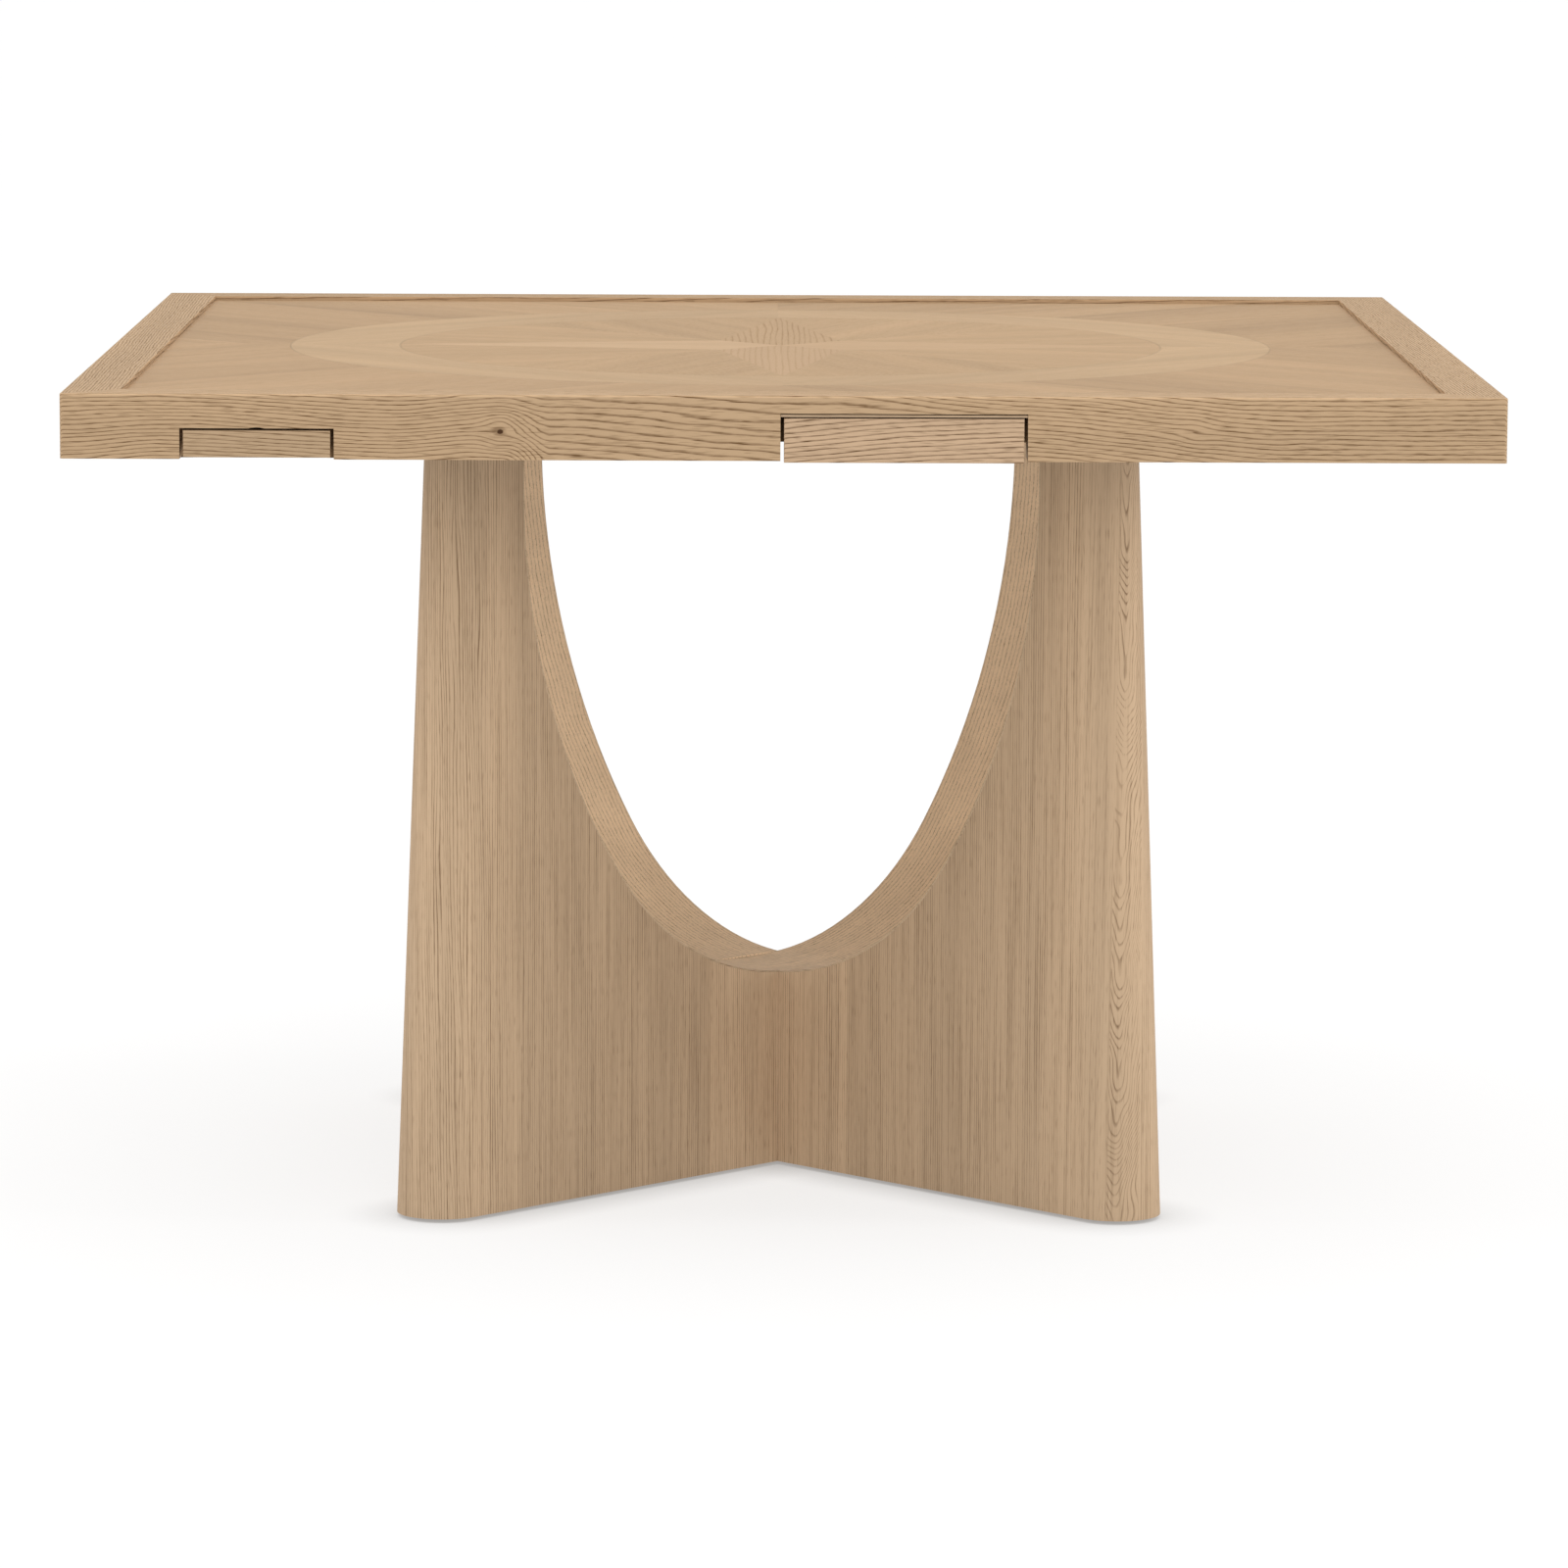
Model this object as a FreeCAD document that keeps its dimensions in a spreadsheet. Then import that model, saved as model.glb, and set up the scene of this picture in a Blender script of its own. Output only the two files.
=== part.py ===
import FreeCAD, Part
from collections import namedtuple
import math
import os
import re
import Sketcher

# A square games table for four players.
# The top is a mitred rail frame round a sunk field with an inlaid compass star.
# Each rail holds a card drawer and a cup slide, both drawn out from underneath.
# The foot is two crossing slabs on the diagonals, each cut out by a wide arch.
# The origin is on the floor under the middle, +Z is up and the front faces -Y.

SIZES = {
    # Whole table
    "table_side": 1219.2,
    "table_height": 762,
    "corner_round": 3,
    "edge_ease": 1,
    "lap_fit": 0.2,
    # Rail frame and sunk field
    "rail_height": 55,
    "rail_width": 48,
    "field_recess": 4,
    "field_fit": 0.2,
    "veneer_thick": 1,
    "core_thick": 18,
    # Inlay
    "ring_outer": 452,
    "ring_inner": 350,
    "star_waist": 56,
    "veneer_joint": 0.1,
    # Drawer front and the notch that it closes
    "drawer_middle": 101.25,
    "drawer_front_width": 202.5,
    "drawer_reveal": 1.1,
    "drawer_front_thick": 20,
    "drawer_front_drop": 1.4,
    "drawer_side_gap": 3,
    "drawer_notch_height": 40,
    "kicker_thick": 2.8,
    "kicker_fit": 0.3,
    "kicker_setback": 0.8,
    "kicker_line_height": 0.9,
    "kicker_line_depth": 12,
    # Drawer box
    "drawer_box_inset": 6.25,
    "drawer_box_depth": 235,
    "drawer_top_gap": 1.8,
    "drawer_lip": 5.6,
    "drawer_side_thick": 10,
    "drawer_back_thick": 10,
    "drawer_bottom_thick": 4,
    # Cup slide
    "slide_end_margin": 103.6,
    "slide_front_width": 124,
    "slide_reveal": 1.7,
    "slide_front_thick": 20,
    "slide_front_lift": 1.4,
    "slide_side_gap": 3,
    "slide_notch_height": 26,
    "finger_relief_width": 13,
    "finger_relief_rise": 0.9,
    "tray_inset": 6,
    "tray_depth": 190,
    "tray_thick": 18,
    "tray_lip": 2,
    "cup_diameter": 82,
    "cup_depth": 12,
    "cup_margin": 10,
    # Runners with a tongue that the drawers and trays hang on
    "runner_width": 14,
    "runner_side_gap": 1,
    "drawer_runner_lip": 1.5,
    "drawer_runner_length": 200,
    "tray_runner_lip": 11.7,
    "tray_runner_length": 155,
    "groove_depth": 5,
    "groove_height": 8,
    "drawer_groove_lift": 9,
    "tray_groove_lift": 5,
    "tongue_tip_gap": 0.5,
    "tongue_play": 0.3,
    # Stops behind the drawers and trays
    "stop_width": 20,
    "stop_depth": 12,
    "stop_height": 18,
    "stop_gap": 0.3,
    # Ledgers and corner blocks that carry the core
    "ledger_width": 18,
    "ledger_height": 18,
    "ledger_margin": 25,
    "corner_block_gap": 4.6,
    "corner_block_height": 30,
    # Diagonal bearers with their screws and bolts
    "bearer_width": 60,
    "bearer_setback": 5.5,
    "hole_play": 0.3,
    "screw_inner_reach": 120,
    "screw_outer_reach": 300,
    "screw_diameter": 5,
    "screw_length": 38,
    "screw_head_diameter": 10,
    "screw_head_height": 3,
    "screw_sink": 4,
    "bolt_inset": 24,
    "bolt_spread": 18,
    "bolt_diameter": 8,
    "bolt_length": 70,
    "bolt_head_diameter": 13,
    "bolt_head_height": 8,
    "bolt_sink": 12,
    # Crossing slabs
    "slab_thick": 82,
    "leg_top_length": 66.5,
    "foot_spread": 36.5,
    "arch_floor": 181,
    "sole_half_width": 45,
    "sole_radius": 560,
    "haunch_radius": 274,
    "arch_half_width": 364,
    "arch_spring_drop": 55,
    "edging_thick": 1.2,
    "glue_line": 0.1,
    # Glides under the slabs
    "glide_height": 3,
    "glide_diameter": 30,
    "glide_setback": 57,
    "glide_inner_gap": 64,
    "glide_pin_diameter": 3,
    "glide_pin_length": 14,
}

# Places worked out from the sizes, in the same millimetres
PLACES = {
    "half_side": "table_side / 2",
    "rail_bottom": "table_height - rail_height",
    "rail_inside": "half_side - rail_width",
    "mitre_round": "corner_round * (1 - sqrt(0.5))",
    "field_top": "table_height - field_recess",
    "field_reach": "rail_inside - field_fit",
    "core_top": "field_top - veneer_thick",
    "core_bottom": "core_top - core_thick",
    "disc_reach": "ring_inner - veneer_joint",
    "spandrel_inner": "ring_outer + veneer_joint",
    "drawer_left": "drawer_middle - drawer_front_width / 2",
    "drawer_right": "drawer_middle + drawer_front_width / 2",
    "drawer_notch_left": "drawer_left - drawer_side_gap",
    "drawer_notch_right": "drawer_right + drawer_side_gap",
    "drawer_notch_top": "rail_bottom + drawer_notch_height",
    "drawer_front_low": "rail_bottom - drawer_front_drop",
    "drawer_front_high": "drawer_notch_top - kicker_thick - drawer_reveal",
    "drawer_front_back": "half_side - drawer_front_thick",
    "box_low": "drawer_front_low + drawer_lip",
    "box_high": "core_bottom - drawer_top_gap",
    "box_left": "drawer_left + drawer_box_inset",
    "box_right": "drawer_right - drawer_box_inset",
    "box_rear": "drawer_front_back - drawer_box_depth",
    "slide_left": "slide_end_margin - half_side",
    "slide_right": "slide_left + slide_front_width",
    "slide_middle": "(slide_left + slide_right) / 2",
    "slide_notch_left": "slide_left - slide_side_gap",
    "slide_notch_right": "slide_right + slide_side_gap",
    "slide_notch_top": "rail_bottom + slide_notch_height",
    "relief_radius": "((finger_relief_width / 2)^2 + finger_relief_rise^2) / (2 * finger_relief_rise)",
    "slide_front_low": "rail_bottom + slide_front_lift",
    "slide_front_high": "slide_notch_top - slide_reveal",
    "slide_front_back": "half_side - slide_front_thick",
    "tray_low": "slide_front_low + tray_lip",
    "tray_high": "tray_low + tray_thick",
    "tray_left": "slide_left + tray_inset",
    "tray_right": "slide_right - tray_inset",
    "tray_rear": "slide_front_back - tray_depth",
    "cup_reach": "slide_front_back - cup_margin - cup_diameter / 2",
    "corner_block_leg": "rail_inside + tray_left - runner_side_gap - runner_width - corner_block_gap",
    "arch_spring": "rail_bottom - arch_spring_drop",
    "sole_centre": "arch_floor + sole_radius",
    "sole_height": "sqrt(sole_radius^2 - sole_half_width^2)",
    "haunch_share": "1 - haunch_radius / sole_radius",
    "haunch_centre_x": "sole_half_width * haunch_share",
    "haunch_centre_z": "sole_centre - sole_height * haunch_share",
    "flank_run": "arch_half_width - haunch_centre_x",
    "flank_rise": "arch_spring - haunch_centre_z",
    "flank_radius": "(flank_run^2 + flank_rise^2 - haunch_radius^2) / (2 * (flank_run - haunch_radius))",
    "haunch_lean": "(flank_radius - flank_run) / (flank_radius - haunch_radius)",
    "haunch_dip": "flank_rise / (flank_radius - haunch_radius)",
    "slab_top_reach": "arch_half_width + leg_top_length",
    "slab_foot_reach": "slab_top_reach + foot_spread",
    "slab_lap": "(glide_height + arch_floor) / 2",
    "glide_outer_reach": "slab_foot_reach - glide_setback",
    "glide_inner_reach": "slab_thick / 2 + glide_diameter / 2 + glide_inner_gap",
    "bearer_reach": "slab_top_reach - bearer_setback",
    "bearer_lap": "(rail_bottom + core_bottom) / 2",
    "screw_seat": "rail_bottom + screw_sink",
    "screw_tip": "screw_seat + screw_length",
    "bolt_reach": "arch_half_width + bolt_inset",
    "bolt_seat": "core_bottom - bolt_sink",
    "bolt_tip": "bolt_seat - bolt_length",
}

SIDES = ("front", "right", "back", "left")
QUARTERS = ("front_right", "back_right", "back_left", "front_left")
QUARTER_ANGLE_DEG = 90
DIAGONAL_ANGLE_DEG = QUARTER_ANGLE_DEG / 2
OVERRUN = "rail_width"
FLAT = "XY_Plane"
FACING = "XZ_Plane"
ENDWAYS = "YZ_Plane"

Circle = namedtuple("Circle", "x y diameter")
WORD = re.compile(r"[A-Za-z_]\w*")

doc = FreeCAD.newDocument("games_table")
sheet = doc.addObject("Spreadsheet::Sheet", "Sizes")
for row, (name, size) in enumerate(SIZES.items(), start=1):
    sheet.set(f"A{row}", name)
    sheet.set(f"B{row}", str(size))
    sheet.setAlias(f"B{row}", name)
doc.recompute()
pieces = []


def formula(text):
    """The sheet's own expression for a formula written in the names above."""
    def spell_out(match):
        word = match.group()
        if word in SIZES:
            return f"Sizes.{word}"
        if word in PLACES:
            return f"({formula(PLACES[word])})"
        return word
    return WORD.sub(spell_out, text)


def value(text):
    """The number that a formula gives now."""
    return float(sheet.evalExpression(formula(text)))


def bind(item, name, text):
    """Tie one property to a formula."""
    item.setExpression(name, formula(text))


def piece(label, turn=0):
    """An empty body, turned about the table's upright axis by some degrees."""
    body = doc.addObject("PartDesign::Body", label)
    body.Label = label
    upright = FreeCAD.Vector(0, 0, 1)
    body.Placement = FreeCAD.Placement(FreeCAD.Vector(), FreeCAD.Rotation(upright, turn))
    pieces.append(body)
    return body


def origin_part(body, role):
    """One of the body's own origin planes or axes."""
    return next(part for part in body.Origin.OriginFeatures if part.Role == role)


def hold(drawing, constraint, text):
    """Add a constraint to a sketch and tie it to a formula."""
    index = drawing.addConstraint(constraint)
    bind(drawing, f"Constraints[{index}]", text)


def pin(drawing, edge, end, x, y):
    """Hold one end or the centre of an edge at its place on the sketch."""
    hold(drawing, Sketcher.Constraint("DistanceX", -1, 1, edge, end, value(x)), x)
    hold(drawing, Sketcher.Constraint("DistanceY", -1, 1, edge, end, value(y)), y)


def draw_edge(drawing, start, end, bend):
    """A line, or an arc of a given radius that turns left, or right if it is negative."""
    if bend is None:
        return drawing.addGeometry(Part.LineSegment(start, end), False), 1, 2
    radius = value(bend)
    chord = end - start
    rise = math.sqrt(radius ** 2 - (chord.Length / 2) ** 2)
    leftward = FreeCAD.Vector(-chord.y, chord.x).normalize()
    centre = (start + end) * 0.5 + leftward * math.copysign(rise, radius)
    circle = Part.Circle(centre, FreeCAD.Vector(0, 0, 1), abs(radius))
    first, last = (start, end) if radius > 0 else (end, start)
    arc = Part.ArcOfCircle(circle, circle.parameter(first), circle.parameter(last))
    edge = drawing.addGeometry(arc, False)
    hold(drawing, Sketcher.Constraint("Radius", edge, abs(radius)), f"abs({bend})")
    return (edge, 1, 2) if radius > 0 else (edge, 2, 1)


def draw_loop(drawing, corners):
    """A closed outline; a corner's third value is the radius of the arc that leaves it."""
    spots = [FreeCAD.Vector(value(corner[0]), value(corner[1])) for corner in corners]
    edges = []
    for index, corner in enumerate(corners):
        bend = corner[2] if len(corner) > 2 else None
        edges.append(draw_edge(drawing, spots[index], spots[(index + 1) % len(spots)], bend))
    for index, (edge, first, last) in enumerate(edges):
        after, after_first, _ = edges[(index + 1) % len(edges)]
        drawing.addConstraint(Sketcher.Constraint("Coincident", edge, last, after, after_first))
        pin(drawing, edge, first, corners[index][0], corners[index][1])


def sketch(body, role, outlines, lift):
    """Closed outlines on one of the body's origin planes, lifted along its normal."""
    drawing = body.newObject("Sketcher::SketchObject", f"{body.Name}_outline")
    drawing.AttachmentSupport = (origin_part(body, role), "")
    drawing.MapMode = "FlatFace"
    bind(drawing, "AttachmentOffset.Base.z", lift)
    for outline in outlines:
        if isinstance(outline, Circle):
            centre = FreeCAD.Vector(value(outline.x), value(outline.y))
            width = value(outline.diameter)
            edge = drawing.addGeometry(Part.Circle(centre, FreeCAD.Vector(0, 0, 1), width / 2), False)
            hold(drawing, Sketcher.Constraint("Diameter", edge, width), outline.diameter)
            pin(drawing, edge, 3, outline.x, outline.y)
        else:
            draw_loop(drawing, outline)
    return drawing


def add(body, role, outlines, low, high):
    """Material between two heights along the plane's normal."""
    pad = body.newObject("PartDesign::Pad", f"{body.Name}_pad")
    pad.Profile = sketch(body, role, outlines, low)
    bind(pad, "Length", f"({high}) - ({low})")
    doc.recompute()
    return pad


def cut(body, role, outlines, low, high):
    """Remove what lies between two heights along the plane's normal."""
    before = body.Shape.Volume
    pocket = body.newObject("PartDesign::Pocket", f"{body.Name}_pocket")
    pocket.Profile = sketch(body, role, outlines, high)
    bind(pocket, "Length", f"({high}) - ({low})")
    doc.recompute()
    if body.Shape.Volume >= before:
        raise ValueError(f"a cut in {body.Label} removes nothing")
    return pocket


def repeat_round(body, features):
    """Copy features to all four sides of the table."""
    pattern = body.newObject("PartDesign::PolarPattern", f"{body.Name}_pattern")
    pattern.Originals = features
    pattern.Axis = (origin_part(body, "Z_Axis"), [""])
    pattern.Angle = 360
    pattern.Occurrences = len(SIDES)
    body.Tip = pattern
    doc.recompute()


def ease(body, chosen):
    """Soften the edges that a test on their bounding box picks."""
    base = body.Tip
    names = [f"Edge{number}" for number, edge in enumerate(base.Shape.Edges, start=1)
             if chosen(edge.BoundBox)]
    fillet = body.newObject("PartDesign::Fillet", f"{body.Name}_ease")
    fillet.Base = (base, names)
    bind(fillet, "Radius", "edge_ease")
    doc.recompute()


def rectangle(left, low, right, high):
    """The four corners of an upright rectangle."""
    return [(left, low), (right, low), (right, high), (left, high)]


def same(first, second):
    """Whether two lengths agree to far less than any joint."""
    return abs(first - second) < 0.001


def make_rail(side, turn):
    """One mitred rail with a notch for the drawer and one for the cup slide."""
    rail = piece(f"{side}_rail", turn)
    add(rail, FLAT, [[
        ("-(half_side - corner_round)", "-half_side"),
        ("half_side - corner_round", "-half_side", "corner_round"),
        ("half_side - mitre_round", "-(half_side - mitre_round)"),
        ("rail_inside", "-rail_inside"),
        ("-rail_inside", "-rail_inside"),
        ("-(half_side - mitre_round)", "-(half_side - mitre_round)", "corner_round"),
    ]], "rail_bottom", "table_height")
    drawer_notch = rectangle(
        "drawer_notch_left", f"rail_bottom - {OVERRUN}", "drawer_notch_right", "drawer_notch_top")
    slide_notch = [
        ("slide_notch_left", f"rail_bottom - {OVERRUN}"),
        ("slide_notch_right", f"rail_bottom - {OVERRUN}"),
        ("slide_notch_right", "slide_notch_top"),
        ("slide_middle + finger_relief_width / 2", "slide_notch_top", "relief_radius"),
        ("slide_middle - finger_relief_width / 2", "slide_notch_top"),
        ("slide_notch_left", "slide_notch_top"),
    ]
    cut(rail, FACING, [drawer_notch, slide_notch],
        f"rail_inside - {OVERRUN}", f"half_side + {OVERRUN}")
    top = value("table_height")
    front = value("-half_side + corner_round")
    ease(rail, lambda box: same(box.ZMin, top) and box.YMax < front and box.XLength > 0.5)


def make_field():
    """The core panel and the veneers of the compass inlay on it."""
    core = piece("core_panel")
    add(core, FLAT, [rectangle("-field_reach", "-field_reach", "field_reach", "field_reach")],
        "core_bottom", "core_top")
    holes = [Circle(f"{reach} * sqrt(0.5)", f"{reach} * sqrt(0.5)", "screw_diameter + 2 * hole_play")
             for reach in ("screw_inner_reach", "screw_outer_reach")]
    pocket = cut(core, FLAT, holes, "core_bottom - screw_sink", "screw_tip + hole_play")
    repeat_round(core, [pocket])
    for index, side in enumerate(SIDES):
        star_point = piece(f"{side}_star_point", QUARTER_ANGLE_DEG * index)
        add(star_point, FLAT, [[
            ("0", "0"),
            ("-star_waist", "-star_waist"),
            ("0", "-disc_reach"),
            ("star_waist", "-star_waist"),
        ]], "core_top", "field_top")
    for index, quarter in enumerate(QUARTERS):
        sector = piece(f"{quarter}_sector", QUARTER_ANGLE_DEG * index)
        add(sector, FLAT, [[
            ("star_waist", "-star_waist"),
            ("0", "-disc_reach", "disc_reach"),
            ("disc_reach", "0"),
        ]], "core_top", "field_top")
        ring = piece(f"{quarter}_ring_segment", QUARTER_ANGLE_DEG * index)
        add(ring, FLAT, [[
            ("0", "-ring_outer", "ring_outer"),
            ("ring_outer", "0"),
            ("ring_inner", "0", "-ring_inner"),
            ("0", "-ring_inner"),
        ]], "core_top", "field_top")
        corner = piece(f"{quarter}_corner_field", QUARTER_ANGLE_DEG * index)
        add(corner, FLAT, [[
            ("0", "-field_reach"),
            ("field_reach", "-field_reach"),
            ("field_reach", "0"),
            ("spandrel_inner", "0", "-spandrel_inner"),
            ("0", "-spandrel_inner"),
        ]], "core_top", "field_top")


def make_under_frame():
    """Ledgers, corner blocks, kickers, runners and stops, the same on all four sides."""
    ledgers = piece("ledger_strips")
    strips = [
        rectangle("slide_notch_right + ledger_margin", "-rail_inside",
                  "drawer_notch_left - ledger_margin", "-rail_inside + ledger_width"),
        rectangle("drawer_notch_right + ledger_margin", "-rail_inside",
                  "rail_inside - corner_block_leg - ledger_width", "-rail_inside + ledger_width"),
    ]
    repeat_round(ledgers, [add(ledgers, FLAT, strips, "core_bottom - ledger_height", "core_bottom")])

    blocks = piece("corner_blocks")
    triangle = [
        ("rail_inside", "-rail_inside"),
        ("rail_inside", "-rail_inside + corner_block_leg"),
        ("rail_inside - corner_block_leg", "-rail_inside"),
    ]
    repeat_round(blocks, [
        add(blocks, FLAT, [triangle], "core_bottom - corner_block_height", "core_bottom")])

    kickers = piece("kicker_strips")
    profile = [
        ("-rail_inside", "drawer_notch_top"),
        ("-rail_inside", "drawer_notch_top - kicker_thick"),
        ("-half_side + kicker_setback", "drawer_notch_top - kicker_thick"),
        ("-half_side + kicker_setback", "drawer_notch_top - kicker_line_height"),
        ("-half_side + kicker_setback + kicker_line_depth", "drawer_notch_top - kicker_line_height"),
        ("-half_side + kicker_setback + kicker_line_depth", "drawer_notch_top"),
    ]
    repeat_round(kickers, [add(
        kickers, ENDWAYS, [profile],
        "drawer_notch_left + kicker_fit", "drawer_notch_right - kicker_fit")])

    drawer_groove = ("box_low + drawer_groove_lift", "box_low + drawer_groove_lift + groove_height")
    make_runners("drawer_runners", "box_left", "box_right", drawer_groove,
                 "drawer_runner_lip", "drawer_runner_length")
    tray_groove = ("tray_low + tray_groove_lift", "tray_low + tray_groove_lift + groove_height")
    make_runners("tray_runners", "tray_left", "tray_right", tray_groove,
                 "tray_runner_lip", "tray_runner_length")

    stops = piece("closing_stops")
    seats = [
        rectangle(f"{middle} - stop_width / 2", f"-({rear} - stop_gap)",
                  f"{middle} + stop_width / 2", f"-({rear} - stop_gap - stop_depth)")
        for middle, rear in (("drawer_middle", "box_rear"), ("slide_middle", "tray_rear"))
    ]
    repeat_round(stops, [add(stops, FLAT, seats, "core_bottom - stop_height", "core_bottom")])


def make_runners(label, left, right, groove, lip, length):
    """A pair of hanging runners whose tongues stand in the grooves between them."""
    runners = piece(label)
    tongue_low = f"{groove[0]} + tongue_play"
    tongue_high = f"{groove[1]} - tongue_play"
    low = f"{tongue_low} - {lip}"
    profiles = []
    for edge, inward in ((left, 1), (right, -1)):
        face = f"({edge}) - {inward} * runner_side_gap"
        outside = f"{face} - {inward} * runner_width"
        tip = f"({edge}) + {inward} * (groove_depth - tongue_tip_gap)"
        profiles.append([
            (outside, low),
            (face, low),
            (face, tongue_low),
            (tip, tongue_low),
            (tip, tongue_high),
            (face, tongue_high),
            (face, "core_bottom"),
            (outside, "core_bottom"),
        ])
    pad = add(runners, FACING, profiles, f"rail_inside - {length}", "rail_inside")
    repeat_round(runners, [pad])


def ease_front(front, reach):
    """Soften the edges round the face of a drawer or slide front."""
    ease(front, lambda box: same(box.YMin, -reach) and same(box.YMax, -reach))


def make_drawer(side, turn):
    """A card drawer: an inset front with a shallow box behind it."""
    reach = value("half_side")
    front = piece(f"{side}_drawer_face", turn)
    add(front, FLAT, [rectangle("drawer_left", "-half_side", "drawer_right", "-drawer_front_back")],
        "drawer_front_low", "drawer_front_high")
    ease_front(front, reach)

    sides = piece(f"{side}_drawer_sides", turn)
    add(sides, FLAT, [
        rectangle("box_left", "-drawer_front_back", "box_left + drawer_side_thick", "-box_rear"),
        rectangle("box_right - drawer_side_thick", "-drawer_front_back", "box_right", "-box_rear"),
    ], "box_low", "box_high")
    low = "box_low + drawer_groove_lift"
    high = f"{low} + groove_height"
    cut(sides, FACING, [
        rectangle("box_left - groove_depth", low, "box_left + groove_depth", high),
        rectangle("box_right - groove_depth", low, "box_right + groove_depth", high),
    ], f"box_rear - {OVERRUN}", f"drawer_front_back + {OVERRUN}")

    back = piece(f"{side}_drawer_back", turn)
    add(back, FLAT, [rectangle(
        "box_left + drawer_side_thick", "-(box_rear + drawer_back_thick)",
        "box_right - drawer_side_thick", "-box_rear")], "box_low", "box_high")

    bottom = piece(f"{side}_drawer_bottom", turn)
    add(bottom, FLAT, [rectangle(
        "box_left + drawer_side_thick", "-drawer_front_back",
        "box_right - drawer_side_thick", "-(box_rear + drawer_back_thick)")],
        "box_low", "box_low + drawer_bottom_thick")


def make_cup_slide(side, turn):
    """A cup slide: an inset front on a tray with a round recess for a cup."""
    reach = value("half_side")
    front = piece(f"{side}_slide_face", turn)
    add(front, FLAT, [rectangle("slide_left", "-half_side", "slide_right", "-slide_front_back")],
        "slide_front_low", "slide_front_high")
    ease_front(front, reach)

    tray = piece(f"{side}_slide_tray", turn)
    add(tray, FLAT, [rectangle("tray_left", "-slide_front_back", "tray_right", "-tray_rear")],
        "tray_low", "tray_high")
    low = "tray_low + tray_groove_lift"
    high = f"{low} + groove_height"
    cut(tray, FACING, [
        rectangle("tray_left - groove_depth", low, "tray_left + groove_depth", high),
        rectangle("tray_right - groove_depth", low, "tray_right + groove_depth", high),
    ], f"tray_rear - {OVERRUN}", f"slide_front_back + {OVERRUN}")
    cut(tray, FLAT, [Circle("slide_middle", "-cup_reach", "cup_diameter")],
        "tray_high - cup_depth", f"tray_high + {OVERRUN}")


def make_bearers():
    """Two half-lapped bearers on the diagonals, with the screws and bolts that they take."""
    bolt_spots = [("bolt_reach", "bolt_spread"), ("bolt_reach", "-bolt_spread")]
    screw_spots = [("screw_inner_reach", "0"), ("screw_outer_reach", "0")]

    def circles(spots, diameter):
        return [Circle(x, y, diameter) for x, y in spots]

    def both_ends(spots):
        return spots + [(f"-{x}", y) for x, y in spots]

    laps = {"bearer_lower": ("bearer_lap", "core_bottom"), "bearer_upper": ("rail_bottom", "bearer_lap")}
    for (label, (low, high)), turn in zip(laps.items(), (DIAGONAL_ANGLE_DEG, -DIAGONAL_ANGLE_DEG)):
        bearer = piece(label, turn)
        add(bearer, FLAT, [rectangle(
            "-bearer_reach", "-bearer_width / 2", "bearer_reach", "bearer_width / 2")],
            "rail_bottom", "core_bottom")
        lap = rectangle("-bearer_width / 2 - lap_fit", "-bearer_width",
                        "bearer_width / 2 + lap_fit", "bearer_width")
        cut(bearer, FLAT, [lap], low, high)
        cut(bearer, FLAT, circles(both_ends(bolt_spots), "bolt_diameter + 2 * hole_play"),
            "rail_bottom", "core_bottom")
        cut(bearer, FLAT, circles(both_ends(bolt_spots), "bolt_head_diameter + 2 * hole_play"),
            "bolt_seat", "core_bottom")
        cut(bearer, FLAT, circles(both_ends(screw_spots), "screw_diameter + 2 * hole_play"),
            "rail_bottom", "core_bottom")
        cut(bearer, FLAT, circles(both_ends(screw_spots), "screw_head_diameter + 2 * hole_play"),
            "rail_bottom", "screw_seat")

    screws = piece("top_screws", DIAGONAL_ANGLE_DEG)
    head = add(screws, FLAT, circles(screw_spots, "screw_head_diameter"),
               "screw_seat - screw_head_height", "screw_seat")
    shank = add(screws, FLAT, circles(screw_spots, "screw_diameter"), "screw_seat", "screw_tip")
    repeat_round(screws, [head, shank])

    bolts = piece("leg_bolts", DIAGONAL_ANGLE_DEG)
    head = add(bolts, FLAT, circles(bolt_spots, "bolt_head_diameter"),
               "bolt_seat", "bolt_seat + bolt_head_height")
    shank = add(bolts, FLAT, circles(bolt_spots, "bolt_diameter"), "bolt_tip", "bolt_seat")
    repeat_round(bolts, [head, shank])


def arch_path(outset):
    """The arch from its left spring to its right one, set out from the visible face."""
    flank = f"flank_radius + {outset}"
    haunch = f"haunch_radius + {outset}"
    haunch_x = f"haunch_centre_x + ({haunch}) * haunch_lean"
    haunch_z = f"haunch_centre_z - ({haunch}) * haunch_dip"
    sole = f"sole_radius + {outset}"
    sole_x = f"({sole}) * sole_half_width / sole_radius"
    sole_z = f"sole_centre - ({sole}) * sole_height / sole_radius"
    return [
        (f"-(arch_half_width + {outset})", "arch_spring", flank),
        (f"-({haunch_x})", haunch_z, haunch),
        (f"-({sole_x})", sole_z, sole),
        (sole_x, sole_z, haunch),
        (haunch_x, haunch_z, flank),
        (f"arch_half_width + {outset}", "arch_spring"),
    ]


def backwards(path):
    """The same path walked from its other end, with its arcs turning right."""
    bends = [corner[2] if len(corner) > 2 else None for corner in path]
    spots = [corner[:2] for corner in path]
    walk = list(zip(reversed(spots), list(reversed(bends))[1:] + [None]))
    return [(x, y, f"-({bend})") if bend else (x, y) for (x, y), bend in walk]


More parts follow.
